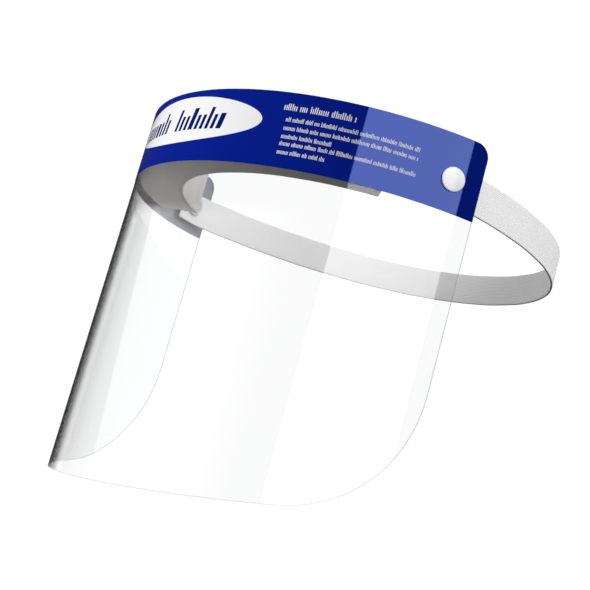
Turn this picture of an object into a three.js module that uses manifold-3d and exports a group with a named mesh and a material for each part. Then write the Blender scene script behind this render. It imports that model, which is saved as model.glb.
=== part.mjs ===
// A disposable face shield: a clear sheet bent round the face, a printed header band along its top,
// a foam forehead pad held by double-sided tape, and an elastic strap held by two snap rivets.
//
// Units are millimetres. The origin is the point where the forehead touches the middle of the foam
// pad. +X is the wearer's left, +Y points backwards into the head and +Z is up.

import * as THREE from 'three';
import { mergeVertices } from 'three/addons/utils/BufferGeometryUtils.js';
import Module from 'manifold-3d';

const wasm = await Module();
wasm.setup();

// The sheet. Its width is measured round the bend, and its radius is that of its outer face.
const SHEET_WIDTH = 330;
const SHEET_HEIGHT = 195;
const SHEET_THICKNESS = 0.4;
const BEND_RADIUS = 120;
const TOP_CORNER_RADIUS = 7;
const BOTTOM_CORNER_RADIUS = 67;
const BOTTOM_EDGE_RADIUS = 600;

// The header band lies on the outside of the sheet and is flush with its top and ends.
const BAND_HEIGHT = 37;
const BAND_THICKNESS = 0.14;

// The foam pad and its tape lie inside the sheet. The origin is at half the foam's height.
const FOAM_LENGTH = 242;
const FOAM_HEIGHT = 30;
const FOAM_DEPTH = 24.3;
const FOAM_TO_SHEET_TOP = 3;
const TAPE_LENGTH = 236;
const TAPE_HEIGHT = 26;
const TAPE_THICKNESS = 0.3;

// The strap: a tab at each end lies along the sheet, turns inwards at the sheet's edge, and runs
// round the back of the head. Its reach is from the origin to its centre line at the back. The
// rivets pierce it a little above the middle of its width.
const STRAP_WIDTH = 18;
const STRAP_THICKNESS = 1.2;
const STRAP_REACH = 209;
const STRAP_BELOW_RIVET = 1.5;
const STRAP_TAB_START = 140;
const STRAP_TAB_END = 153;
const STRAP_TURN_RADIUS = 18;
const STRAP_TURN_HEADING = THREE.MathUtils.degToRad(91.8);
const STRAP_SIDE_HANDLE = 86.8;
const STRAP_BACK_HANDLE = 60.3;

// The rivets, at a distance round the bend from the middle of the sheet.
const RIVET_DISTANCE = 150.2;
const RIVET_BELOW_TOP = 21.3;
const CAP_RADIUS = 5.8;
const CAP_RIM = 0.3;
const CAP_DOME = 1.7;
const SHANK_RADIUS = 1.9;
const SHANK_TIP_RADIUS = 2.7;
const SHANK_TIP_LENGTH = 0.9;
const SOCKET_RADIUS = 5.5;
const SOCKET_THICKNESS = 1.5;
const SOCKET_RECESS_RADIUS = 3.1;
const SOCKET_RECESS_DEPTH = 0.6;

// Clearances between neighbours. The strap's leave room for it to swing up and down: it hangs lower
// than the rivets, so its bottom corners sweep out furthest towards the sheet.
const LAYER_GAP = 0.06;
const CAP_GAP = 0.15;
const SHANK_GAP = 0.25;
const HOLE_GAP = 0.4;
const STRAP_HOLE_GAP = 0.6;
const STRAP_OUTER_GAP = 1.45;
const STRAP_INNER_GAP = 0.8;

// How finely the curves are stepped. The foam has an odd number of slices, so that a flat slice
// faces the forehead, and the sheet and strap have one in the middle too.
const SHEET_HALF_SLICES = 20;
const SHEET_CORNER_SLICES = 8;
const TOP_CORNER_SLICES = 6;
const FOAM_SLICES = 41;
const STRAP_HALF_SLICES = 60;
const RIVET_SEGMENTS = 28;
const DOME_STEPS = 6;

// Depths of the layers, inwards from the outer face of the sheet.
const TAPE_START = SHEET_THICKNESS + LAYER_GAP;
const FOAM_START = TAPE_START + TAPE_THICKNESS + LAYER_GAP;
const FOAM_END = FOAM_START + FOAM_DEPTH;
const STRAP_START = SHEET_THICKNESS + STRAP_OUTER_GAP;
const STRAP_MIDDLE = STRAP_START + STRAP_THICKNESS / 2;
const SOCKET_START = STRAP_START + STRAP_THICKNESS + STRAP_INNER_GAP;
const SOCKET_END = SOCKET_START + SOCKET_THICKNESS;

// Heights above the origin.
const SHEET_TOP = FOAM_HEIGHT / 2 + FOAM_TO_SHEET_TOP;
const BAND_BOTTOM = SHEET_TOP - BAND_HEIGHT;
const RIVET_Z = SHEET_TOP - RIVET_BELOW_TOP;
const STRAP_Z = RIVET_Z - STRAP_BELOW_RIVET;

// The bend's centre lies behind the origin, by the distance to the foam's flat middle slice.
const FOAM_SLICE_ANGLE = FOAM_LENGTH / FOAM_SLICES / BEND_RADIUS;
const BEND_CENTRE_Y = (BEND_RADIUS - FOAM_END) * Math.cos(FOAM_SLICE_ANGLE / 2);

const MATERIALS = {
  clearPlastic: new THREE.MeshStandardMaterial({
    color: 0xf4f8fa, roughness: 0.05, metalness: 0, transparent: true, opacity: 0.25,
  }),
  bluePrint: new THREE.MeshStandardMaterial({ color: 0x0c1f80, roughness: 0.25, metalness: 0 }),
  greyFoam: new THREE.MeshStandardMaterial({ color: 0x9c9a97, roughness: 0.95, metalness: 0 }),
  clearTape: new THREE.MeshStandardMaterial({ color: 0xe6e3d8, roughness: 0.5, metalness: 0 }),
  whiteElastic: new THREE.MeshStandardMaterial({ color: 0xe2e1df, roughness: 0.9, metalness: 0 }),
  whitePlastic: new THREE.MeshStandardMaterial({ color: 0xf4f3f6, roughness: 0.2, metalness: 0 }),
};

// A station is one upright line of a strip: a point on the strip's plan curve, the inward normal
// there, and the heights of the strip's two edges. This one is on the sheet's bend, at a distance
// round it from the middle.
function bendStation(distance, bottom, top) {
  const angle = distance / BEND_RADIUS;
  return {
    x: BEND_RADIUS * Math.sin(angle),
    y: BEND_CENTRE_Y - BEND_RADIUS * Math.cos(angle),
    nx: -Math.sin(angle),
    ny: Math.cos(angle),
    bottom,
    top,
  };
}

function mirrored(station) {
  return { ...station, x: -station.x, nx: -station.nx };
}

// A strip is a box with one slice between each two stations, bent along them. Its outer and inner
// faces lie at two depths, measured inwards from the plan curve.
function stripGeometry(stations, outerDepth, innerDepth) {
  const slices = stations.length - 1;
  const geometry = new THREE.BoxGeometry(slices, 1, 1, slices, 1, 1);
  const position = geometry.attributes.position;
  for (let i = 0; i < position.count; i += 1) {
    const station = stations[Math.round(position.getX(i) + slices / 2)];
    const depth = position.getY(i) < 0 ? outerDepth : innerDepth;
    const height = position.getZ(i) < 0 ? station.bottom : station.top;
    position.setXYZ(i, station.x + station.nx * depth, station.y + station.ny * depth, height);
  }
  geometry.computeVertexNormals();
  return geometry;
}

// The sheet's outline, unrolled: a shallow arc along the bottom runs into a large round corner at
// each end, the ends are upright, and the top corners are small rounds.
const BOTTOM_ARC_Z = SHEET_TOP - SHEET_HEIGHT + BOTTOM_EDGE_RADIUS;
const CORNER_CENTRE = SHEET_WIDTH / 2 - BOTTOM_CORNER_RADIUS;
const CORNER_LEAN = Math.asin(CORNER_CENTRE / (BOTTOM_EDGE_RADIUS - BOTTOM_CORNER_RADIUS));
const CORNER_START = BOTTOM_EDGE_RADIUS * Math.sin(CORNER_LEAN);
const CORNER_CENTRE_Z = BOTTOM_ARC_Z - CORNER_CENTRE / Math.tan(CORNER_LEAN);
const TOP_CORNER_CENTRE = SHEET_WIDTH / 2 - TOP_CORNER_RADIUS;

function roundDrop(radius, across) {
  return Math.sqrt(Math.max(radius ** 2 - across ** 2, 0));
}

function sheetBottom(distance) {
  return distance < CORNER_START
    ? BOTTOM_ARC_Z - roundDrop(BOTTOM_EDGE_RADIUS, distance)
    : CORNER_CENTRE_Z - roundDrop(BOTTOM_CORNER_RADIUS, distance - CORNER_CENTRE);
}

function sheetTop(distance) {
  const across = Math.max(distance - TOP_CORNER_CENTRE, 0);
  return SHEET_TOP - TOP_CORNER_RADIUS + roundDrop(TOP_CORNER_RADIUS, across);
}

// Distances of the stations on one half of the sheet: even steps along the bottom arc, then even
// turns round the two corners, so that the rounds are smooth.
function sheetDistances() {
  const distances = [];
  for (let i = 0; i <= SHEET_HALF_SLICES; i += 1) {
    distances.push((CORNER_START * (i + 0.5)) / (SHEET_HALF_SLICES + 0.5));
  }
  const cornerEnd = Math.asin((TOP_CORNER_CENTRE - CORNER_CENTRE) / BOTTOM_CORNER_RADIUS);
  for (let i = 1; i <= SHEET_CORNER_SLICES; i += 1) {
    const turn = THREE.MathUtils.lerp(CORNER_LEAN, cornerEnd, i / SHEET_CORNER_SLICES);
    distances.push(CORNER_CENTRE + BOTTOM_CORNER_RADIUS * Math.sin(turn));
  }
  for (let i = 1; i <= TOP_CORNER_SLICES; i += 1) {
    const turn = (Math.PI / 2) * (i / TOP_CORNER_SLICES);
    distances.push(TOP_CORNER_CENTRE + TOP_CORNER_RADIUS * Math.sin(turn));
  }
  return distances;
}

function sheetStations(bottomEdge) {
  const left = sheetDistances().map((s) => bendStation(s, bottomEdge(s), sheetTop(s)));
  const right = left.map(mirrored).reverse();
  return [...right, ...left];
}

// A pad of one height along the bend, centred on the origin's height.
function padGeometry(length, height, outerDepth, innerDepth) {
  const stations = [];
  for (let i = 0; i <= FOAM_SLICES; i += 1) {
    const distance = length * (i / FOAM_SLICES - 0.5);
    stations.push(bendStation(distance, -height / 2, height / 2));
  }
  return stripGeometry(stations, outerDepth, innerDepth);
}

// The left half of the strap's centre line, seen from above: the tab, the turn at the sheet's
// edge, and a curve that ends at the back, going to the right.
function strapHalfPath() {
  const path = new THREE.Path();
  const tabRadius = BEND_RADIUS - STRAP_MIDDLE;
  const quarter = Math.PI / 2;
  const tabStart = STRAP_TAB_START / BEND_RADIUS;
  const tabEnd = STRAP_TAB_END / BEND_RADIUS;
  path.absarc(0, BEND_CENTRE_Y, tabRadius, tabStart - quarter, tabEnd - quarter);

  const turnX = (tabRadius - STRAP_TURN_RADIUS) * Math.sin(tabEnd);
  const turnY = BEND_CENTRE_Y - (tabRadius - STRAP_TURN_RADIUS) * Math.cos(tabEnd);
  path.absarc(turnX, turnY, STRAP_TURN_RADIUS, tabEnd - quarter, STRAP_TURN_HEADING - quarter);

  const side = path.currentPoint;
  path.bezierCurveTo(
    side.x + STRAP_SIDE_HANDLE * Math.cos(STRAP_TURN_HEADING),
    side.y + STRAP_SIDE_HANDLE * Math.sin(STRAP_TURN_HEADING),
    STRAP_BACK_HANDLE,
    STRAP_REACH,
    0,
    STRAP_REACH,
  );
  return path;
}

function strapGeometry() {
  const path = strapHalfPath();
  const left = [];
  for (let i = 0; i <= STRAP_HALF_SLICES; i += 1) {
    const along = i / (STRAP_HALF_SLICES + 0.5);
    const point = path.getPoint(along);
    const heading = path.getTangent(along);
    left.push({
      x: point.x,
      y: point.y,
      nx: -heading.y,
      ny: heading.x,
      bottom: STRAP_Z - STRAP_WIDTH / 2,
      top: STRAP_Z + STRAP_WIDTH / 2,
    });
  }
  const right = left.map(mirrored).reverse();
  return stripGeometry([...left, ...right], -STRAP_THICKNESS / 2, STRAP_THICKNESS / 2);
}

// The rivet's own frame has its origin where its axis meets the sheet's outer face, and its +Y
// points outwards along the axis. The cap is a dome on a shank with a wider tip.
function capGeometry() {
  const rimStart = BAND_THICKNESS + LAYER_GAP + CAP_GAP;
  const domeStart = rimStart + CAP_RIM;
  const tipStart = -(SOCKET_END - SOCKET_RECESS_DEPTH + CAP_GAP);
  const profile = [
    new THREE.Vector2(0, tipStart - SHANK_TIP_LENGTH),
    new THREE.Vector2(SHANK_RADIUS, tipStart - SHANK_TIP_LENGTH),
    new THREE.Vector2(SHANK_TIP_RADIUS, tipStart - SHANK_TIP_LENGTH / 3),
    new THREE.Vector2(SHANK_TIP_RADIUS, tipStart),
    new THREE.Vector2(SHANK_RADIUS, tipStart),
    new THREE.Vector2(SHANK_RADIUS, rimStart),
    new THREE.Vector2(CAP_RADIUS - CAP_RIM, rimStart),
  ];
  for (let i = 0; i <= DOME_STEPS; i += 1) {
    const turn = (Math.PI / 2) * (i / DOME_STEPS);
    const radius = i === DOME_STEPS ? 0 : CAP_RADIUS * Math.cos(turn);
    profile.push(new THREE.Vector2(radius, domeStart + CAP_DOME * Math.sin(turn)));
  }
  return new THREE.LatheGeometry(profile, RIVET_SEGMENTS);
}

// The socket is a washer behind the strap, with a recess that the shank's tip snaps into.
function socketGeometry() {
  const bore = SHANK_RADIUS + SHANK_GAP;
  const recess = -(SOCKET_END - SOCKET_RECESS_DEPTH);
  const profile = [
    new THREE.Vector2(bore, -SOCKET_START),
    new THREE.Vector2(bore, recess),
    new THREE.Vector2(SOCKET_RECESS_RADIUS, recess),
    new THREE.Vector2(SOCKET_RECESS_RADIUS, -SOCKET_END),
    new THREE.Vector2(SOCKET_RADIUS, -SOCKET_END),
    new THREE.Vector2(SOCKET_RADIUS, -SOCKET_START),
    new THREE.Vector2(bore, -SOCKET_START),
  ];
  return new THREE.LatheGeometry(profile, RIVET_SEGMENTS);
}

// The rivet's frame on one side: side is 1 on the wearer's left and -1 on the right.
function rivetGroup(side) {
  const angle = RIVET_DISTANCE / BEND_RADIUS;
  const outward = new THREE.Vector3(side * Math.sin(angle), -Math.cos(angle), 0);
  const group = new THREE.Group();
  group.position.set(0, BEND_CENTRE_Y, RIVET_Z).addScaledVector(outward, BEND_RADIUS);
  group.quaternion.setFromUnitVectors(new THREE.Vector3(0, 1, 0), outward);
  group.updateMatrix();
  return group;
}

function toSolid(geometry) {
  const bare = geometry.clone();
  bare.deleteAttribute('normal');
  bare.deleteAttribute('uv');
  const merged = mergeVertices(bare);
  return new wasm.Manifold(new wasm.Mesh({
    numProp: 3,
    vertProperties: merged.attributes.position.array,
    triVerts: Uint32Array.from(merged.index.array),
  }));
}

function fromSolid(solid) {
  const { vertProperties, triVerts } = solid.getMesh();
  const geometry = new THREE.BufferGeometry();
  geometry.setAttribute('position', new THREE.BufferAttribute(vertProperties, 3));
  geometry.setIndex(new THREE.BufferAttribute(triVerts, 1));
  geometry.computeVertexNormals();
  return geometry;
}

// Punches the two rivet holes through a layer.
function withRivetHoles(geometry, holeRadius) {
  let solid = toSolid(geometry);
  for (const side of [1, -1]) {
    const punch = new THREE.CylinderGeometry(holeRadius, holeRadius, 2 * CAP_RADIUS, RIVET_SEGMENTS);
    punch.applyMatrix4(rivetGroup(side).matrix);
    solid = solid.subtract(toSolid(punch));
  }
  return fromSolid(solid);
}

function addMesh(parent, name, geometry, material) {
  const mesh = new THREE.Mesh(geometry, material);
  mesh.name = name;
  parent.add(mesh);
}

const faceShield = new THREE.Group();

const sheet = stripGeometry(sheetStations(sheetBottom), 0, SHEET_THICKNESS);
const band = stripGeometry(sheetStations(() => BAND_BOTTOM), -LAYER_GAP - BAND_THICKNESS, -LAYER_GAP);
const rivetHole = SHANK_RADIUS + HOLE_GAP;
const strapHole = SHANK_RADIUS + STRAP_HOLE_GAP;
addMesh(faceShield, 'visor', withRivetHoles(sheet, rivetHole), MATERIALS.clearPlastic);
addMesh(faceShield, 'header_band', withRivetHoles(band, rivetHole), MATERIALS.bluePrint);
addMesh(faceShield, 'strap', withRivetHoles(strapGeometry(), strapHole), MATERIALS.whiteElastic);

const tape = padGeometry(TAPE_LENGTH, TAPE_HEIGHT, TAPE_START, TAPE_START + TAPE_THICKNESS);
const foam = padGeometry(FOAM_LENGTH, FOAM_HEIGHT, FOAM_START, FOAM_END);
addMesh(faceShield, 'foam_tape', tape, MATERIALS.clearTape);
addMesh(faceShield, 'foam_pad', foam, MATERIALS.greyFoam);

for (const [label, side] of [['left', 1], ['right', -1]]) {
  const rivet = rivetGroup(side);
  addMesh(rivet, `rivet_cap_${label}`, capGeometry(), MATERIALS.whitePlastic);
  addMesh(rivet, `rivet_socket_${label}`, socketGeometry(), MATERIALS.whitePlastic);
  faceShield.add(rivet);
}

export default faceShield;
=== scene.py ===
"""The looks of a disposable face shield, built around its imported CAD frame.

Metres. The origin is where the forehead touches the foam pad; +X is the wearer's left, +Y points
backwards into the head and +Z is up.
"""

import bisect
import math
import random

import bmesh
import bpy
from mathutils import Matrix, Vector, noise


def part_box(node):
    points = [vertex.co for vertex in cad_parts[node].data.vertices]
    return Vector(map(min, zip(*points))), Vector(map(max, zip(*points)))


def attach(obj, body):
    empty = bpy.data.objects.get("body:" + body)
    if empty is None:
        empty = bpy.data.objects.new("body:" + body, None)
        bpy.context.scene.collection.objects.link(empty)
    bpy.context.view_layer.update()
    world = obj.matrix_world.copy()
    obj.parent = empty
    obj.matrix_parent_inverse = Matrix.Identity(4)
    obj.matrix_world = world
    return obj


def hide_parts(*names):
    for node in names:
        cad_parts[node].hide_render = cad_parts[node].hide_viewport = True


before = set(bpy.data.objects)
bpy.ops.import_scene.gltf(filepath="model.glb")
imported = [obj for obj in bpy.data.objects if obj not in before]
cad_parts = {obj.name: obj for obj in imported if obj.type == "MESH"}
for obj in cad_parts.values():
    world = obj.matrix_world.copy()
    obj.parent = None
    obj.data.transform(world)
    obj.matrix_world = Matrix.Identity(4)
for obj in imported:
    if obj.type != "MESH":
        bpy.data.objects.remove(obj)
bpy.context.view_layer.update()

MM = 0.001

# The bent sheet. Distances along it are measured round its outer face from the middle.
SHEET_WIDTH = 330 * MM
SHEET_HEIGHT = 195 * MM
BEND_RADIUS = 120 * MM
TOP_CORNER_RADIUS = 7 * MM
BOTTOM_CORNER_RADIUS = 67 * MM
BOTTOM_EDGE_RADIUS = 600 * MM
BAND_HEIGHT = 37 * MM

# Depths are measured inwards from the sheet's outer face, so the printed layers have negative ones.
SHEET_DEPTHS = (0, 0.4 * MM)
BAND_DEPTHS = (-0.20 * MM, -0.06 * MM)
LABEL_DEPTHS = (-0.235 * MM, -0.205 * MM)
TITLE_DEPTHS = (-0.265 * MM, -0.24 * MM)
TAPE_DEPTHS = (0.46 * MM, 0.76 * MM)
FOAM_START_DEPTH = 0.82 * MM
FOAM_LENGTH = 242 * MM
TAPE_LENGTH = 236 * MM

# The strap's centre line, as in the CAD model.
STRAP_WIDTH = 18 * MM
STRAP_THICKNESS = 1.2 * MM
STRAP_DEPTH = 2.45 * MM
STRAP_TAB_START = 140 * MM
STRAP_TAB_END = 153 * MM
STRAP_TURN_RADIUS = 18 * MM
STRAP_TURN_HEADING = math.radians(91.8)
STRAP_SIDE_HANDLE = 86.8 * MM
STRAP_BACK_HANDLE = 60.3 * MM

RIVET_DISTANCE = 150.2 * MM
RIVET_BELOW_TOP = 21.3 * MM
SHEET_HOLE_RADIUS = 2.3 * MM
STRAP_HOLE_RADIUS = 2.5 * MM

# Places that the frame gives.
foam_low, foam_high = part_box("foam_pad")
tape_low, tape_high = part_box("foam_tape")
sheet_low, sheet_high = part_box("visor")
strap_low, strap_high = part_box("strap")
SHEET_TOP = sheet_high.z
BEND_CENTRE_Y = sheet_low.y + BEND_RADIUS
FOAM_END_DEPTH = BEND_RADIUS - BEND_CENTRE_Y
RIVET_Z = SHEET_TOP - RIVET_BELOW_TOP
STRAP_Z = (strap_low.z + strap_high.z) / 2
STRAP_REACH = strap_high.y - STRAP_THICKNESS / 2


# ---------------------------------------------------------------- camera

# The photograph's viewpoint, from a perspective fit. Angles in degrees, lens and sensor in mm.
CAMERA_AZIMUTH = 55.36
CAMERA_ELEVATION = -10.89
CAMERA_ROLL = 15.59
CAMERA_DISTANCE = 0.65
CAMERA_TARGET = Vector((0.0341, 0.0452, -0.0634))
CAMERA_LENS = 80.6
CAMERA_SENSOR = 36


def direction(azimuth, elevation):
    """The unit vector from the object towards a place at these angles; azimuth 0 is the front."""
    a, e = math.radians(azimuth), math.radians(elevation)
    return Vector((math.sin(a) * math.cos(e), -math.cos(a) * math.cos(e), math.sin(e)))


def make_camera():
    """A camera below the wearer's left, looking up at the shield and rolled to one side."""
    back = direction(CAMERA_AZIMUTH, CAMERA_ELEVATION)
    roll = math.radians(CAMERA_ROLL)
    right = Vector((0, 0, 1)).cross(back).normalized()
    up = back.cross(right)
    turned_right = right * math.cos(roll) + up * math.sin(roll)
    turned_up = up * math.cos(roll) - right * math.sin(roll)

    data = bpy.data.cameras.new("camera")
    data.lens = CAMERA_LENS
    data.sensor_width = CAMERA_SENSOR
    camera = bpy.data.objects.new("camera", data)
    place = Matrix((turned_right, turned_up, back)).transposed().to_4x4()
    place.translation = CAMERA_TARGET + back * CAMERA_DISTANCE
    camera.matrix_world = place
    bpy.context.scene.collection.objects.link(camera)
    bpy.context.scene.camera = camera


# ---------------------------------------------------------------- material helpers

class Nodes:
    """A short way to build a material's node tree."""

    def __init__(self, material):
        self.tree = material.node_tree

    def add(self, kind, settings=None, **inputs):
        node = self.tree.nodes.new(kind)
        for key, value in (settings or {}).items():
            setattr(node, key, value)
        for key, value in inputs.items():
            self.put(node, key.replace("_", " "), value)
        return node

    def fill(self, socket, value):
        """Links an input to another node's output, or gives it a constant."""
        if isinstance(value, bpy.types.NodeSocket):
            self.tree.links.new(value, socket)
        else:
            socket.default_value = value

    def put(self, node, name, value):
        self.fill(node.inputs[name], value)

    def maths(self, operation, a, b=0.0):
        node = self.tree.nodes.new("ShaderNodeMath")
        node.operation = operation
        for socket, value in zip(node.inputs, (a, b)):
            self.fill(socket, value)
        return node.outputs[0]

    def mix_colours(self, factor, first, second):
        node = self.tree.nodes.new("ShaderNodeMix")
        node.data_type = "RGBA"
        for socket, value in ((0, factor), (6, first), (7, second)):
            self.fill(node.inputs[socket], value)
        return node.outputs[2]

    def place(self):
        return self.add("ShaderNodeTexCoord").outputs["Object"]

    def noise(self, scale, detail=3.0, roughness=0.5, where=None):
        node = self.add("ShaderNodeTexNoise", Scale=scale, Detail=detail, Roughness=roughness)
        self.tree.links.new(where or self.place(), node.inputs["Vector"])
        return node.outputs[0]

    def bump(self, height, distance, strength=1.0):
        node = self.add("ShaderNodeBump", Strength=strength, Distance=distance, Height=height)
        return node.outputs["Normal"]


def new_material(name):
    material = bpy.data.materials.new(name)
    material.use_nodes = True
    nodes = Nodes(material)
    shader = material.node_tree.nodes["Principled BSDF"]
    return material, nodes, shader


def srgb(red, green, blue):
    """A colour given as it looks on a screen, 0 to 255, as the linear colour that shaders take."""
    def linear(value):
        value /= 255
        return value / 12.92 if value <= 0.04045 else ((value + 0.055) / 1.055) ** 2.4
    return (linear(red), linear(green), linear(blue), 1.0)


# ---------------------------------------------------------------- materials

FACING_MIRROR_SHARE = 0.04
FILM_MILKINESS = 0.004


def clear_plastic():
    """Thin clear film: it lets light straight through and mirrors more the more it slants away.
    The mirror share is Schlick's curve, which is the same from both sides of the film."""
    material, nodes, shader = new_material("clear_plastic")
    tree = material.node_tree
    tree.nodes.remove(shader)
    slant = nodes.add("ShaderNodeLayerWeight", Blend=0.5).outputs["Facing"]
    steep = nodes.maths("MULTIPLY", nodes.maths("POWER", slant, 5.0), 1 - FACING_MIRROR_SHARE)
    mirror_share = nodes.maths("ADD", steep, FACING_MIRROR_SHARE)
    smudges = nodes.noise(24.0, detail=4.0)
    roughness = nodes.maths("ADD", nodes.maths("MULTIPLY", smudges, 0.012), 0.002)
    clear = nodes.add("ShaderNodeBsdfTransparent", Color=(0.998, 0.999, 1.0, 1.0))
    milk = nodes.add("ShaderNodeBsdfDiffuse", Color=(0.93, 0.94, 0.95, 1.0))
    body = nodes.add("ShaderNodeMixShader", Fac=FILM_MILKINESS)
    tree.links.new(clear.outputs[0], body.inputs[1])
    tree.links.new(milk.outputs[0], body.inputs[2])
    mirror = nodes.add("ShaderNodeBsdfAnisotropic", Roughness=roughness)
    surface = nodes.add("ShaderNodeMixShader", Fac=mirror_share)
    tree.links.new(body.outputs[0], surface.inputs[1])
    tree.links.new(mirror.outputs[0], surface.inputs[2])
    tree.links.new(surface.outputs[0], tree.nodes["Material Output"].inputs["Surface"])
    return material


def cut_edge():
    """The sheet's cut edge, greyer than its faces because light runs out through it."""
    material, nodes, shader = new_material("cut_edge")
    grain = nodes.noise(900.0)
    nodes.put(shader, "Base Color", nodes.mix_colours(grain, srgb(168, 170, 172), srgb(200, 202, 204)))
    nodes.put(shader, "Roughness", nodes.maths("ADD", nodes.maths("MULTIPLY", grain, 0.2), 0.25))
    nodes.put(shader, "Alpha", 0.85)
    return material


def cut_margin_shade():
    """The clear film next to a cut, with painted shade: a faint grey that lets a little less light through.
    """
    material, nodes, shader = new_material("cut_margin_shade")
    grain = nodes.noise(1400.0, detail=4.0)
    nodes.put(shader, "Base Color", nodes.mix_colours(grain, srgb(150, 152, 155), srgb(190, 192, 195)))
    nodes.put(shader, "Roughness", nodes.maths("ADD", nodes.maths("MULTIPLY", grain, 0.2), 0.2))
    nodes.put(shader, "Alpha", 0.13)
    return material


def printed(name, light, dark, roughness, tint=(1, 1, 1, 1), gloss=0.5):
    """Glossy ink on film: almost even, with faint cloudiness in its colour and its gloss. The tint
    colours what the ink mirrors."""
    material, nodes, shader = new_material(name)
    cloud = nodes.noise(45.0, detail=5.0)
    grain = nodes.noise(2600.0, detail=2.0)
    nodes.put(shader, "Base Color", nodes.mix_colours(cloud, light, dark))
    nodes.put(shader, "Roughness", nodes.maths("ADD", nodes.maths("MULTIPLY", cloud, 0.02), roughness))
    nodes.put(shader, "Normal", nodes.bump(grain, 0.0006 * MM))
    nodes.put(shader, "Specular IOR Level", gloss)
    nodes.put(shader, "Specular Tint", tint)
    return material


def grey_foam():
    """Open-cell foam: half-millimetre pores with painted shade inside them, on a mottled grey."""
    material, nodes, shader = new_material("grey_foam")
    where = nodes.place()
    cells = nodes.add("ShaderNodeTexVoronoi", {"feature": "F1"}, Vector=where, Scale=1500.0)
    small_cells = nodes.add("ShaderNodeTexVoronoi", {"feature": "F1"}, Vector=where, Scale=3400.0)
    small_pores = nodes.maths("MULTIPLY", small_cells.outputs["Distance"], 0.5)
    pores = nodes.maths("ADD", cells.outputs["Distance"], small_pores)
    cloud = nodes.maths("MULTIPLY", nodes.noise(160.0, detail=4.0, where=where), 0.35)
    # Painted shade: each pore's colour darkens towards its middle, as if it were shadowed inside.
    painted_pore_shade = nodes.mix_colours(pores, srgb(120, 119, 118), srgb(188, 186, 183))
    nodes.put(shader, "Base Color", nodes.mix_colours(cloud, painted_pore_shade, srgb(152, 150, 147)))
    nodes.put(shader, "Roughness", 0.95)
    nodes.put(shader, "Sheen Weight", 0.15)
    nodes.put(shader, "Specular IOR Level", 0.1)
    nodes.put(shader, "Normal", nodes.bump(pores, 0.25 * MM))
    return material


def white_elastic():
    """Knitted elastic: slanted stitches in fine lengthwise ribs, laid out on the strap's own map, with
    painted shade in the weave's hollows.
    """
    material, nodes, shader = new_material("white_elastic")
    cloth = nodes.add("ShaderNodeUVMap", {"uv_map": "cloth"}).outputs["UV"]
    split = nodes.add("ShaderNodeSeparateXYZ", Vector=cloth)
    along, across = split.outputs["X"], split.outputs["Y"]
    slant = nodes.maths("ADD", along, nodes.maths("MULTIPLY", across, 0.8))
    stitches = nodes.maths("SINE", nodes.maths("MULTIPLY", slant, math.tau / (1.3 * MM)))
    ribs = nodes.maths("SINE", nodes.maths("MULTIPLY", across, math.tau / (0.9 * MM)))
    weave = nodes.maths("ADD", nodes.maths("MULTIPLY", stitches, 0.12), nodes.maths("MULTIPLY", ribs, 0.16))
    fluff = nodes.noise(1500.0, detail=4.0, where=nodes.place())
    height = nodes.maths("ADD", nodes.maths("ADD", weave, 0.1), nodes.maths("MULTIPLY", fluff, 0.8))
    # Painted shade: the lower the weave and its fluff lie, the darker the colour.
    colour = nodes.mix_colours(height, srgb(212, 212, 212), srgb(246, 246, 246))
    nodes.put(shader, "Base Color", colour)
    nodes.put(shader, "Roughness", 0.9)
    nodes.put(shader, "Sheen Weight", 0.25)
    nodes.put(shader, "Specular IOR Level", 0.2)
    nodes.put(shader, "Normal", nodes.bump(height, 0.12 * MM))
    return material


def white_plastic():
    """Moulded plastic with a polished face and a trace of mould texture."""
    material, nodes, shader = new_material("white_plastic")
    cloud = nodes.noise(220.0)
    nodes.put(shader, "Base Color", nodes.mix_colours(cloud, srgb(243, 242, 245), srgb(250, 250, 251)))
    nodes.put(shader, "Roughness", nodes.maths("ADD", nodes.maths("MULTIPLY", cloud, 0.08), 0.14))
    nodes.put(shader, "Normal", nodes.bump(nodes.noise(1800.0), 0.004 * MM))
    nodes.put(shader, "Specular IOR Level", 0.35)
    return material


def clear_tape():
    """Double-sided tape: translucent film with cloudy adhesive."""
    material, nodes, shader = new_material("clear_tape")
    cloud = nodes.noise(320.0, detail=5.0)
    nodes.put(shader, "Base Color", nodes.mix_colours(cloud, srgb(205, 202, 192), srgb(228, 226, 218)))
    nodes.put(shader, "Roughness", nodes.maths("ADD", nodes.maths("MULTIPLY", cloud, 0.3), 0.3))
    nodes.put(shader, "Normal", nodes.bump(cloud, 0.02 * MM))
    return material


def floor_paint():
    """Plain pale paint, a very little uneven."""
    material, nodes, shader = new_material("floor_paint")
    cloud = nodes.noise(0.8)
    nodes.put(shader, "Base Color", nodes.mix_colours(cloud, (0.93, 0.93, 0.93, 1), (0.95, 0.95, 0.95, 1)))
    nodes.put(shader, "Roughness", 0.9)
    nodes.put(shader, "Specular IOR Level", 0.1)
    return material


# ---------------------------------------------------------------- shape helpers

def bend_point(distance, depth, height):
    """A point at a distance round the bend, a depth inwards of the sheet's outer face, and a height."""
    angle = distance / BEND_RADIUS
    radius = BEND_RADIUS - depth
    return Vector((radius * math.sin(angle), BEND_CENTRE_Y - radius * math.cos(angle), height))


def flat_place(point):
    """The distance round the bend and the height of a point near it."""
    return BEND_RADIUS * math.atan2(point.x, BEND_CENTRE_Y - point.y), point.z


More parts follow.
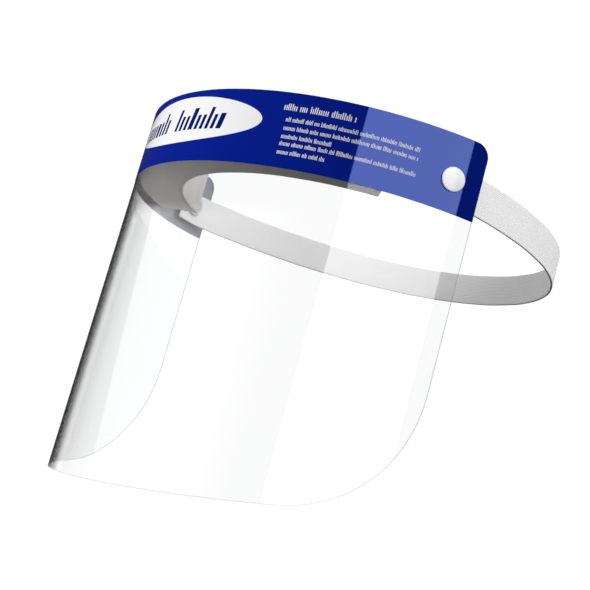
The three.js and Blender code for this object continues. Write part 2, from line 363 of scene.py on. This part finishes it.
def make_piece(name, vertices, faces, materials, body, smooth_angle=35):
    """A smooth-shaded piece that rides on a body; edges past the angle in degrees stay sharp."""
    mesh = bpy.data.meshes.new(name)
    mesh.from_pydata(vertices, [], faces)
    tidy = bmesh.new()
    tidy.from_mesh(mesh)
    bmesh.ops.recalc_face_normals(tidy, faces=tidy.faces)
    tidy.to_mesh(mesh)
    tidy.free()
    mesh.polygons.foreach_set("use_smooth", [True] * len(mesh.polygons))
    mesh.set_sharp_from_angle(angle=math.radians(smooth_angle))
    for material in materials:
        mesh.materials.append(material)
    piece = bpy.data.objects.new(name, mesh)
    bpy.context.scene.collection.objects.link(piece)
    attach(piece, body)
    return piece


def loft(rings):
    """Vertices and faces of a tube through rings of equal length, closed at both ends."""
    count = len(rings[0])
    vertices = [point for ring in rings for point in ring]
    faces = [tuple(range(count)), tuple(range(len(vertices) - count, len(vertices)))]
    for start in range(0, len(vertices) - count, count):
        for i in range(count):
            j = (i + 1) % count
            faces.append((start + i, start + j, start + count + j, start + count + i))
    return vertices, faces


def add_shape(vertices, faces, shape):
    """Adds a shape's vertices and faces to the lists of a growing mesh."""
    more, sides = shape
    faces.extend([tuple(len(vertices) + i for i in side) for side in sides])
    vertices.extend(more)


def bent_layer(distances, heights, depths):
    """A thin layer on the bend. heights(distance) lists its heights there, from the bottom up."""
    rings = []
    for distance in distances:
        column = heights(distance)
        outer = [bend_point(distance, depths[0], z) for z in column]
        inner = [bend_point(distance, depths[1], z) for z in reversed(column)]
        rings.append(outer + inner)
    return loft(rings)


def even_steps(low, high, spacing):
    """Positions from low to high, about a spacing apart."""
    count = max(1, round((high - low) / spacing))
    return [low + (high - low) * i / count for i in range(count + 1)]


def lattice_steps(half, spacing, edge):
    """Positions from -half to half, with two short steps within each edge's rounding."""
    middle = even_steps(edge - half, half - edge, spacing)
    return [-half, edge / 2 - half, *middle, half - edge / 2, half]


def rounded_box(size, spacing, radius, place):
    """The surface of a box with rounded edges, as a lattice whose points are then moved by place."""
    half = [side / 2 for side in size]
    steps = [lattice_steps(h, s, radius) for h, s in zip(half, spacing)]
    last = [len(line) - 1 for line in steps]
    index, points = {}, []

    def corner(*key):
        if key not in index:
            raw = Vector(steps[axis][key[axis]] for axis in range(3))
            core = Vector(max(radius - h, min(h - radius, c)) for h, c in zip(half, raw))
            index[key] = len(points)
            points.append(place(*(core + (raw - core).normalized() * radius)))
        return index[key]

    faces = []
    for fixed in range(3):
        first, second = [axis for axis in range(3) if axis != fixed]
        for side in (0, last[fixed]):
            for i in range(last[first]):
                for j in range(last[second]):
                    face = []
                    for a, b in ((i, j), (i + 1, j), (i + 1, j + 1), (i, j + 1)):
                        key = [0, 0, 0]
                        key[fixed], key[first], key[second] = side, a, b
                        face.append(corner(*key))
                    faces.append(face)
    return points, faces


def revolve(profile, segments=64):
    """A solid of revolution about Y from (radius, y) points; a closed ring where it has a hole."""
    rings = []
    for i in range(segments):
        turn = math.tau * i / segments
        rings.append([Vector((r * math.cos(turn), y, r * math.sin(turn))) for r, y in profile])
    vertices = [point for ring in rings for point in ring]
    count = len(profile)
    faces = []
    for i in range(segments):
        j = (i + 1) % segments
        for k in range(count - 1):
            faces.append((i * count + k, i * count + k + 1, j * count + k + 1, j * count + k))
    return vertices, faces


def weld(piece, distance=0.001 * MM):
    """Merges the doubled points on a revolved piece's axis."""
    merged = bmesh.new()
    merged.from_mesh(piece.data)
    bmesh.ops.remove_doubles(merged, verts=merged.verts, dist=distance)
    bmesh.ops.recalc_face_normals(merged, faces=merged.faces)
    merged.to_mesh(piece.data)
    merged.free()


def rivet_place(side):
    """The frame of the rivet on one side: its +Y points outwards from the sheet's outer face."""
    spot = bend_point(side * RIVET_DISTANCE, 0, RIVET_Z)
    outward = spot - Vector((0, BEND_CENTRE_Y, RIVET_Z))
    return Matrix.Translation(spot) @ outward.to_track_quat("Y", "Z").to_matrix().to_4x4()


def punch_rivet_holes(piece, radius):
    """Cuts the two rivet holes through a piece, and gives it the cut mesh."""
    inner_end, outer_end = -9 * MM, 4 * MM
    for side in (1, -1):
        profile = [(0, inner_end), (radius, inner_end), (radius, outer_end), (0, outer_end)]
        vertices, faces = revolve(profile, 40)
        mesh = bpy.data.meshes.new("punch")
        mesh.from_pydata(vertices, [], faces)
        mesh.transform(rivet_place(side))
        punch = bpy.data.objects.new("punch", mesh)
        bpy.context.scene.collection.objects.link(punch)
        weld(punch)
        cut = piece.modifiers.new("hole", "BOOLEAN")
        cut.operation = "DIFFERENCE"
        cut.solver = "EXACT"
        cut.object = punch
        bpy.context.view_layer.update()
        graph = bpy.context.evaluated_depsgraph_get()
        punched = bpy.data.meshes.new_from_object(piece.evaluated_get(graph))
        piece.modifiers.clear()
        piece.data = punched
        bpy.data.objects.remove(punch)


def round_shading(piece, edge_slot=None, back_slot=None):
    """Gives a bent layer the true round normals of the bend. With edge_slot its narrow edges, and
    with back_slot its inner face, take material slots of their own."""
    least_facing = 0.8
    mesh = piece.data
    normals = [None] * len(mesh.loops)
    for face in mesh.polygons:
        centre = Vector((face.center.x, face.center.y - BEND_CENTRE_Y, 0)).normalized()
        facing = face.normal.dot(centre)
        narrow = abs(facing) < least_facing
        if narrow:
            if edge_slot is not None:
                face.material_index = edge_slot
        elif facing < 0 and back_slot is not None:
            face.material_index = back_slot
        for loop in face.loop_indices:
            spot = mesh.vertices[mesh.loops[loop].vertex_index].co
            radial = Vector((spot.x, spot.y - BEND_CENTRE_Y, 0)).normalized()
            normals[loop] = face.normal if narrow else radial * math.copysign(1, facing)
    mesh.polygons.foreach_set("use_smooth", [True] * len(mesh.polygons))
    mesh.normals_split_custom_set([tuple(normal) for normal in normals])


# ---------------------------------------------------------------- the sheet and its print

BOTTOM_ARC_Z = SHEET_TOP - SHEET_HEIGHT + BOTTOM_EDGE_RADIUS
CORNER_CENTRE = SHEET_WIDTH / 2 - BOTTOM_CORNER_RADIUS
CORNER_LEAN = math.asin(CORNER_CENTRE / (BOTTOM_EDGE_RADIUS - BOTTOM_CORNER_RADIUS))
CORNER_CENTRE_Z = BOTTOM_ARC_Z - CORNER_CENTRE / math.tan(CORNER_LEAN)
TOP_CORNER_CENTRE = SHEET_WIDTH / 2 - TOP_CORNER_RADIUS
SHEET_STEP = 0.7 * MM
CUT_MARGIN = 0.5 * MM


def drop(radius, across):
    """How high a circle reaches above its centre, at a distance across from the centre."""
    return math.sqrt(max(radius ** 2 - across ** 2, 0))


def sheet_top(distance, margin=0):
    """The height of the sheet's top edge, or of the line that runs a margin inside it."""
    across = max(abs(distance) - TOP_CORNER_CENTRE, 0)
    return SHEET_TOP - TOP_CORNER_RADIUS + drop(TOP_CORNER_RADIUS - margin, across)


def sheet_bottom(distance, margin=0):
    """The height of the sheet's bottom edge, or of the line that runs a margin inside it."""
    s = abs(distance)
    if s < (BOTTOM_EDGE_RADIUS - margin) * math.sin(CORNER_LEAN):
        return BOTTOM_ARC_Z - drop(BOTTOM_EDGE_RADIUS - margin, s)
    return CORNER_CENTRE_Z - drop(BOTTOM_CORNER_RADIUS - margin, s - CORNER_CENTRE)


def sheet_distances():
    """Even steps along the bottom arc, then even turns round the bottom and top corners."""
    corner_start = BOTTOM_EDGE_RADIUS * math.sin(CORNER_LEAN)
    corner_end = math.asin((TOP_CORNER_CENTRE - CORNER_CENTRE) / BOTTOM_CORNER_RADIUS)
    half = even_steps(0, corner_start, SHEET_STEP)
    turns = even_steps(CORNER_LEAN, corner_end, SHEET_STEP / BOTTOM_CORNER_RADIUS)[1:]
    half += [CORNER_CENTRE + BOTTOM_CORNER_RADIUS * math.sin(turn) for turn in turns]
    turns = even_steps(0, math.pi / 2, SHEET_STEP / TOP_CORNER_RADIUS)[1:]
    half += [TOP_CORNER_CENTRE + TOP_CORNER_RADIUS * math.sin(turn) for turn in turns]
    half = sorted(half + [SHEET_WIDTH / 2 - CUT_MARGIN])
    return [-distance for distance in reversed(half[1:])] + half


def make_visor():
    """The clear sheet, whose outline keeps a narrow margin of painted shade, a little grey and less clear.
    """
    rows = 4

    def heights(distance):
        bottom, top = sheet_bottom(distance, CUT_MARGIN), sheet_top(distance, CUT_MARGIN)
        between = [bottom + (top - bottom) * i / rows for i in range(rows + 1)]
        return [sheet_bottom(distance), *between, sheet_top(distance)]

    vertices, faces = bent_layer(sheet_distances(), heights, SHEET_DEPTHS)
    visor = make_piece("visor_sheet", vertices, faces, [CLEAR, EDGE, MARGIN_SHADE], "shield")
    # Faces outside the margin line take the painted-shade margin material.
    for face in visor.data.polygons:
        distance, height = flat_place(face.center)
        inside = abs(distance) < SHEET_WIDTH / 2 - CUT_MARGIN
        bottom, top = sheet_bottom(distance, CUT_MARGIN), sheet_top(distance, CUT_MARGIN)
        if not (inside and bottom < height < top):
            face.material_index = 2
    punch_rivet_holes(visor, SHEET_HOLE_RADIUS)
    round_shading(visor, edge_slot=1)
    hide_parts("visor")


def make_band():
    """The blue header print, which shows grey from behind."""
    bottom = SHEET_TOP - BAND_HEIGHT
    vertices, faces = bent_layer(
        sheet_distances(), lambda s: [bottom, (bottom + SHEET_TOP) / 2, sheet_top(s)], BAND_DEPTHS
    )
    band = make_piece("header_print", vertices, faces, [BLUE, PRINT_BACK], "shield")
    punch_rivet_holes(band, SHEET_HOLE_RADIUS)
    round_shading(band, back_slot=1)
    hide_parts("header_band")


def make_oval():
    """The blank white oval in the middle of the band."""
    half_length, half_height = 55.3 * MM, 11.9 * MM
    middle = SHEET_TOP - 15.0 * MM
    last_turn = math.radians(88)
    turns = even_steps(-last_turn, last_turn, math.radians(2))

    def heights(distance):
        rise = half_height * drop(1, distance / half_length)
        return [middle - rise, middle + rise]

    distances = [half_length * math.sin(turn) for turn in turns]
    vertices, faces = bent_layer(distances, heights, LABEL_DEPTHS)
    oval = make_piece("label_oval", vertices, faces, [WHITE_INK], "shield")
    round_shading(oval)


def bar(low, high, bottom, top, lean, depths):
    """One printed bar on the bend, whose top leans along it; a wide one is made in slices."""
    slice_width = 1.2 * MM
    rings = []
    for distance in even_steps(low, high, slice_width):
        ahead = distance + lean * (top - bottom)
        rings.append([
            bend_point(distance, depths[0], bottom), bend_point(ahead, depths[0], top),
            bend_point(ahead, depths[1], top), bend_point(distance, depths[1], bottom),
        ])
    return loft(rings)


def word_bars(start, end, base, size, stroke, words, lean, depths, rng):
    """A line of bars that reads as print from afar and spells nothing: plain strokes of two
    heights, in groups as long as words."""
    tall_share, short_height, word_gap = 0.3, 0.72, 2.2
    vertices, faces = [], []
    at, left = start, rng.randint(*words)
    while at + stroke < end:
        tall = size if rng.random() < tall_share else size * short_height
        add_shape(vertices, faces, bar(at, at + stroke, base, base + tall, lean, depths))
        left -= 1
        at += stroke * rng.uniform(1.7, 2.2)
        if left == 0:
            at += stroke * word_gap
            left = rng.randint(*words)
    return vertices, faces


def make_small_print():
    """The block of small print on the wearer's left: a heading and five lines under it."""
    rng = random.Random(4)
    heading_start, heading_end, heading_below_top = 65.0, 100.8, 8.9
    heading_size, heading_stroke = 3.3, 0.5
    line_start, line_size, line_stroke = 67.5, 2.2, 0.33
    line_ends = (132.0, 132.0, 92.7, 132.6, 91.2)
    lines_below_top = (14.4, 18.6, 22.7, 26.2, 30.4)

    lines = [(heading_start, heading_end, heading_below_top, heading_size, heading_stroke)]
    for end, below_top in zip(line_ends, lines_below_top):
        lines.append((line_start, end, below_top, line_size, line_stroke))
    vertices, faces = [], []
    for start, end, below_top, size, stroke in lines:
        add_shape(vertices, faces, word_bars(
            start * MM, end * MM, SHEET_TOP - below_top * MM, size * MM, stroke * MM,
            (4, 14), 0, LABEL_DEPTHS, rng,
        ))
    small_print = make_piece(
        "small_print", vertices, faces, [WHITE_INK], "shield", smooth_angle=10
    )
    round_shading(small_print)


def make_title():
    """Two groups of slanted blocks on the oval, where a title would be."""
    rng = random.Random(7)
    base_below_top, gap, lean, least_block = 20.6, 1.7, 0.2, 2
    vertices, faces = [], []
    for start, end in ((-42, -8), (-3, 33)):
        at = start
        while at < end - least_block:
            width = min(rng.choice((2.2, 2.2, 3.3)), end - at)
            rise = rng.choice((7.4, 7.4, 8.0, 11.2))
            add_shape(vertices, faces, bar(
                at * MM, (at + width) * MM, SHEET_TOP - base_below_top * MM,
                SHEET_TOP - (base_below_top - rise) * MM, lean, TITLE_DEPTHS,
            ))
            at += width + gap
    title = make_piece("title_bars", vertices, faces, [NAVY], "shield", smooth_angle=10)
    round_shading(title)


# ---------------------------------------------------------------- foam and tape

def make_foam():
    """The pad: cut square, with softened edges, a skin of fine unevenness, and an inner face that
    bulges a little where the bend squeezes it."""
    depth = FOAM_END_DEPTH - FOAM_START_DEPTH
    height = foam_high.z - foam_low.z
    inner_bulge = 0.014

    def place(along, inwards, up):
        share = inwards / depth + 0.5
        squeeze = 1 + inner_bulge * share * share
        spot = Vector((along, inwards, up)) / (3.2 * MM)
        rough = noise.noise(spot) * 0.10 * MM + noise.noise(spot * 3.1) * 0.07 * MM
        sway = noise.noise(Vector((along, 0, up)) / (28 * MM)) * 0.25 * MM * share
        return bend_point(
            along, FOAM_START_DEPTH + depth / 2 + inwards + (rough + sway) * share,
            up * squeeze + rough,
        )

    vertices, faces = rounded_box(
        (FOAM_LENGTH, depth, height), (1.8 * MM, 1.5 * MM, 1.5 * MM), 1.1 * MM, place
    )
    foam = make_piece("foam_cushion", vertices, faces, [FOAM], "shield", smooth_angle=50)
    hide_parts("foam_pad")


def make_tape():
    """The double-sided tape between the pad and the sheet."""
    depth = TAPE_DEPTHS[1] - TAPE_DEPTHS[0]
    middle = sum(TAPE_DEPTHS) / 2
    vertices, faces = rounded_box(
        (TAPE_LENGTH, depth, tape_high.z - tape_low.z), (2.4 * MM, depth, 3 * MM), depth / 5,
        lambda along, inwards, up: bend_point(along, middle + inwards, up),
    )
    tape = make_piece("tape_strip", vertices, faces, [TAPE], "shield")
    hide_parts("foam_tape")


# ---------------------------------------------------------------- strap

def strap_line():
    """Points of the strap's centre line, seen from above: the left half, then the right one."""
    radius = BEND_RADIUS - STRAP_DEPTH
    tab_end = STRAP_TAB_END / BEND_RADIUS
    centre = Vector((0, BEND_CENTRE_Y))
    half = []
    for turn in even_steps(STRAP_TAB_START / BEND_RADIUS, tab_end, math.radians(0.5)):
        half.append(centre + radius * Vector((math.sin(turn), -math.cos(turn))))
    pivot = centre + (radius - STRAP_TURN_RADIUS) * Vector((math.sin(tab_end), -math.cos(tab_end)))
    for turn in even_steps(tab_end, STRAP_TURN_HEADING, math.radians(2))[1:]:
        half.append(pivot + STRAP_TURN_RADIUS * Vector((math.sin(turn), -math.cos(turn))))
    heading = Vector((math.cos(STRAP_TURN_HEADING), math.sin(STRAP_TURN_HEADING)))
    side, back = half[-1], Vector((0, STRAP_REACH))
    handles = side + heading * STRAP_SIDE_HANDLE, back + Vector((STRAP_BACK_HANDLE, 0))
    for t in even_steps(0, 1, 0.005)[1:]:
        u = 1 - t
        half.append(
            u ** 3 * side + 3 * u * u * t * handles[0] + 3 * u * t * t * handles[1] + t ** 3 * back
        )
    return half + [Vector((-point.x, point.y)) for point in reversed(half[:-1])]


class Line:
    """A plan curve that can be walked by length."""

    def __init__(self, points):
        self.points = points
        self.lengths = [0.0]
        for a, b in zip(points, points[1:]):
            self.lengths.append(self.lengths[-1] + (b - a).length)

    def at(self, along):
        """The point there and the inward normal."""
        i = min(max(bisect.bisect(self.lengths, along) - 1, 0), len(self.points) - 2)
        share = (along - self.lengths[i]) / (self.lengths[i + 1] - self.lengths[i])
        before = self.points[max(i - 1, 0)]
        after = self.points[min(i + 2, len(self.points) - 1)]
        here, there = self.points[i], self.points[i + 1]
        heading = (there - before).normalized().lerp((after - here).normalized(), share)
        heading.normalize()
        return here.lerp(there, share), Vector((-heading.y, heading.x))


def make_strap():
    """Elastic webbing: soft edges, lengthwise ribs, and a slight wave in its edges."""
    line = Line(strap_line())
    length = line.lengths[-1]
    ribs = 13
    at_place = []

    def place(along, inwards, up):
        spot, inward = line.at(along + length / 2)
        rib = 0.04 * MM * math.cos(math.tau * ribs * up / STRAP_WIDTH)
        ripple = noise.noise(Vector((along / (9 * MM), up / (6 * MM), 0))) * 0.05 * MM
        edge = noise.noise(Vector((along / (14 * MM), 5, 0))) * 0.15 * MM
        offset = inwards + math.copysign(rib, inwards) + ripple
        height = STRAP_Z + up + edge * (2 * up / STRAP_WIDTH)
        at_place.append((along + length / 2, up + STRAP_WIDTH / 2 + inwards))
        return Vector((spot.x + inward.x * offset, spot.y + inward.y * offset, height))

    vertices, faces = rounded_box(
        (length, STRAP_THICKNESS, STRAP_WIDTH), (1.6 * MM, 0.4 * MM, 0.46 * MM), 0.38 * MM, place
    )
    strap = make_piece("strap_webbing", vertices, faces, [ELASTIC], "strap", smooth_angle=60)
    cloth = strap.data.uv_layers.new(name="cloth")
    for loop in strap.data.loops:
        cloth.data[loop.index].uv = at_place[loop.vertex_index]
    punch_rivet_holes(strap, STRAP_HOLE_RADIUS)
    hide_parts("strap")


# ---------------------------------------------------------------- rivets

def arc(centre, radius, start, end, steps):
    """Points of an arc in a profile, by angle from +radius towards +y."""
    turns = [math.radians(start + (end - start) * i / steps) for i in range(steps + 1)]
    return [(centre[0] + radius * math.cos(t), centre[1] + radius * math.sin(t)) for t in turns]


def cap_profile():
    """Shank tip, shank, underside, round rim and a shallow dome, in millimetres."""
    tip, catch, shank, shank_start, shank_end = -5.8, 2.7, 1.9, -4.9, 0.28
    underside, rim, top = 0.35, 5.8, 2.35
    dome = [(r, top - 0.024 * r ** 2.2) for r in (4.4, 3.7, 3.0, 2.3, 1.5, 0.8)]
    profile = [
        (0, tip), (1.6, tip), *arc((1.7, -5.5), 0.3, -80, -40, 2),
        (catch, -5.2), (catch, -4.95), (2.55, shank_start),
        (shank, shank_start), (shank, shank_end), *arc((2.0, shank_end), 0.07, 180, 90, 2),
        (5.4, underside), *arc((5.55, 0.6), 0.25, -90, 0, 4), (rim, 0.8),
        *arc((5.0, 0.75), 0.8, 10, 70, 6), *dome, (0, top),
    ]
    return [(r * MM, y * MM) for r, y in profile]


def socket_profile():
    """A washer with a raised ring and a recess for the shank's tip, in millimetres."""
    bore, face, outside, recess, recess_floor = 2.15, -3.9, 5.2, 3.1, -4.75
    profile = [
        (bore, face), (2.2, -3.85), *arc((outside, -4.15), 0.3, 90, 0, 4),
        *arc((outside, -4.7), 0.3, 0, -70, 4), (4.6, -5.02), (4.4, -5.1),
        *arc((4.1, -5.15), 0.2, 0, -90, 3), (3.3, -5.35), (recess, -5.25), (recess, recess_floor),
        (2.2, recess_floor), (bore, -4.7), (bore, face),
    ]
    return [(r * MM, y * MM) for r, y in profile]


def make_rivet(label, side):
    """The cap and the socket on one side; side is 1 on the wearer's left and -1 on the right."""
    body = f"rivet_{label}"
    parts = (("cap", cap_profile()), ("socket", socket_profile()))
    for part, profile in parts:
        vertices, faces = revolve(profile)
        place = rivet_place(side)
        piece = make_piece(
            f"snap_{part}_{label}", [place @ v for v in vertices], faces,
            [PLASTIC], body,
        )
        weld(piece)
        piece.data.set_sharp_from_angle(angle=math.radians(50))
        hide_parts(f"rivet_{part}_{label}")


# ---------------------------------------------------------------- studio

# How bright the white room is that the camera sees, and the soft dome that lights matt surfaces.
ROOM_BRIGHTNESS = 1.045
DOME_ABOVE = 0.78
DOME_TOP_EXTRA = 0.5
DOME_BELOW = 0.08

# The lit panels that the gloss mirrors: first and last azimuth, brightness, and softness of each
# end, in degrees. The front ones stop at a height, and the main one's edge leans.
MIRRORED_DARK = 0.03
LEFT_PANEL = (44.9, 99.6, 4.0, 0.3, 0.3)
FRONT_RIM = (-86, -78, 0.35, 3, 1)
FRONT_DIM = (-88, 5, 0.72, 4, 25)
FRONT_PANEL = (-48, 5, 1.1, 0.6, 25)
PANEL_LEAN = 1.2
FRONT_TOP = 13.9
FRONT_TOP_RISE = 0.018
FRONT_TOP_SOFTNESS = 0.3

LAMP_DISTANCE = 2.2
LAMP_SIZE = 1.2


def make_floor():
    """A round pale floor, well under the shield, which a head would hold up."""
    radius, below = 1.6, 0.5
    rim = [Vector((math.cos(t), math.sin(t), 0)) * radius for t in even_steps(0, math.tau, 0.1)[:-1]]
    mesh = bpy.data.meshes.new("floor")
    mesh.from_pydata([point - Vector((0, 0, below)) for point in rim], [], [tuple(range(len(rim)))])
    mesh.materials.append(floor_paint())
    floor = bpy.data.objects.new("floor", mesh)
    bpy.context.scene.collection.objects.link(floor)
    floor.visible_diffuse = False
    floor.visible_glossy = False


def softbox(name, place, target, size, brightness, pieces, spread=180, own_shadows=False):
    """A square lamp that lights the matt surfaces of some pieces; the gloss mirrors the panels. A
    white surface that faces it at the target looks as bright as the number given. The spread is
    the width of its beam in degrees, and with own_shadows only the pieces it lights block it."""
    towards = place - target
    data = bpy.data.lights.new(name, "AREA")
    data.size = size
    data.spread = math.radians(spread)
    data.energy = brightness * math.pi ** 2 * towards.length_squared
    lamp = bpy.data.objects.new(name, data)
    lamp.matrix_world = Matrix.Translation(place) @ towards.to_track_quat("Z", "Y").to_matrix().to_4x4()
    lamp.visible_camera = False
    lamp.visible_glossy = False
    bpy.context.scene.collection.objects.link(lamp)
    lit = bpy.data.collections.new(name)
    for piece in pieces:
        lit.objects.link(bpy.data.objects[piece])
    lamp.light_linking.receiver_collection = lit
    if own_shadows:
        lamp.light_linking.blocker_collection = lit


def ramp(nodes, value, low, high):
    """0 at low and 1 at high, kept within them."""
    node = nodes.add("ShaderNodeMapRange")
    nodes.put(node, "Value", value)
    nodes.put(node, "From Min", low)
    nodes.put(node, "From Max", high)
    return node.outputs[0]


def panel(nodes, azimuth, start, end, brightness, start_softness, end_softness):
    """The brightness of an upright lit panel between two azimuths."""
    rise = ramp(nodes, azimuth, start - start_softness, start + start_softness)
    fall = ramp(nodes, azimuth, end + end_softness, end - end_softness)
    return nodes.maths("MULTIPLY", nodes.maths("MULTIPLY", rise, fall), brightness)


def make_world():
    """A white room to the eye; to matt surfaces a soft dome, bright above and dim below; and to
    gloss a dark room with lit panels."""
    world = bpy.data.worlds.new("studio")
    world.use_nodes = True
    tree = world.node_tree
    tree.nodes.clear()
    nodes = Nodes(world)
    path = nodes.add("ShaderNodeLightPath")
    towards = nodes.add("ShaderNodeTexCoord").outputs["Generated"]
    split = nodes.add("ShaderNodeSeparateXYZ", Vector=towards)
    x, y, z = (split.outputs[axis] for axis in "XYZ")
    azimuth = nodes.maths("DEGREES", nodes.maths("ARCTAN2", x, nodes.maths("MULTIPLY", y, -1.0)))
    elevation = nodes.maths("DEGREES", nodes.maths("ARCSINE", z))
    leaning = nodes.maths("ADD", azimuth, nodes.maths("MULTIPLY", elevation, PANEL_LEAN))
    height = nodes.maths("SUBTRACT", elevation, nodes.maths("MULTIPLY", azimuth, FRONT_TOP_RISE))

    start, end, brightness, start_softness, end_softness = FRONT_PANEL
    rise = ramp(nodes, leaning, start - start_softness, start + start_softness)
    fall = ramp(nodes, azimuth, end + end_softness, end - end_softness)
    front = nodes.maths("MULTIPLY", nodes.maths("MULTIPLY", rise, fall), brightness)
    front = nodes.maths("ADD", front, panel(nodes, azimuth, *FRONT_DIM))
    front = nodes.maths("ADD", front, panel(nodes, azimuth, *FRONT_RIM))
    under_top = ramp(nodes, height, FRONT_TOP + FRONT_TOP_SOFTNESS, FRONT_TOP - FRONT_TOP_SOFTNESS)
    front = nodes.maths("MULTIPLY", front, under_top)
    panels = nodes.maths("ADD", front, panel(nodes, azimuth, *LEFT_PANEL))
    panels = nodes.maths("ADD", panels, MIRRORED_DARK)

    above = nodes.maths("MULTIPLY", ramp(nodes, z, -0.15, 0.25), DOME_ABOVE - DOME_BELOW)
    overhead = nodes.maths("MULTIPLY", ramp(nodes, z, 0.3, 1.0), DOME_TOP_EXTRA)
    above = nodes.maths("ADD", above, overhead)
    dome = nodes.add("ShaderNodeBackground", Strength=nodes.maths("ADD", above, DOME_BELOW))
    seen = nodes.add("ShaderNodeBackground", Strength=ROOM_BRIGHTNESS)
    mirrored = nodes.add("ShaderNodeBackground", Strength=panels)
    for background in (dome, seen, mirrored):
        nodes.put(background, "Color", (1, 1, 1, 1))
    matt_or_gloss = nodes.add("ShaderNodeMixShader", Fac=path.outputs["Is Glossy Ray"])
    tree.links.new(dome.outputs[0], matt_or_gloss.inputs[1])
    tree.links.new(mirrored.outputs[0], matt_or_gloss.inputs[2])
    eye = nodes.add("ShaderNodeMixShader", Fac=path.outputs["Is Camera Ray"])
    tree.links.new(matt_or_gloss.outputs[0], eye.inputs[1])
    tree.links.new(seen.outputs[0], eye.inputs[2])
    output = nodes.add("ShaderNodeOutputWorld")
    tree.links.new(eye.outputs[0], output.inputs["Surface"])
    bpy.context.scene.world = world


def make_studio():
    """A lamp from the front right for the print, one from the left for the cloth and foam, two
    from behind for the far side and the back, one for the rivets, and a low one for the pad's
    underside."""
    make_world()
    make_floor()
    print_pieces = ("header_print", "label_oval", "title_bars", "small_print")
    cloth_pieces = ("foam_cushion", "strap_webbing")
    rivet_pieces = [f"snap_{part}_{label}" for part in ("cap", "socket") for label in ("left", "right")]
    lamps = (
        ("front_lamp", direction(-30, 10), 0.85, print_pieces),
        ("left_lamp", direction(95, 20), 0.56, cloth_pieces),
        ("back_lamp", direction(168, 15), 0.85, ("header_print", "foam_cushion")),
        ("right_lamp", direction(225, 20), 0.45, (*cloth_pieces, *rivet_pieces)),
        ("rivet_lamp", direction(65, -15), 0.7, rivet_pieces),
    )
    for name, towards, brightness, pieces in lamps:
        softbox(name, towards * LAMP_DISTANCE, Vector((0, 0, 0)), LAMP_SIZE, brightness, pieces)
    low_place = Vector((-0.15, -0.13, -0.16))
    pad_underside = Vector((-0.09, -0.01, -0.015))
    low_size, low_brightness = 0.08, 0.36
    softbox(
        "low_lamp", low_place, pad_underside, low_size, low_brightness, ("foam_cushion",),
        spread=95, own_shadows=True,
    )
    bpy.context.scene.view_settings.view_transform = "Standard"


make_camera()

CLEAR = clear_plastic()
EDGE = cut_edge()
# A faint painted shade along the sheet's cut.
MARGIN_SHADE = cut_margin_shade()
BLUE = printed("blue_ink", srgb(6, 33, 150), srgb(5, 30, 139), 0.01, tint=(0.27, 0.39, 1, 1), gloss=1.0)
PRINT_BACK = printed("print_back", srgb(180, 180, 188), srgb(170, 170, 180), 0.35)
WHITE_INK = printed("white_ink", srgb(250, 250, 252), srgb(245, 245, 248), 0.03)
NAVY = printed("navy_ink", srgb(6, 25, 110), srgb(4, 21, 99), 0.03)
FOAM = grey_foam()
ELASTIC = white_elastic()
PLASTIC = white_plastic()
TAPE = clear_tape()

make_visor()
make_band()
make_oval()
make_title()
make_small_print()
make_foam()
make_tape()
make_strap()
make_rivet("left", 1)
make_rivet("right", -1)
make_studio()
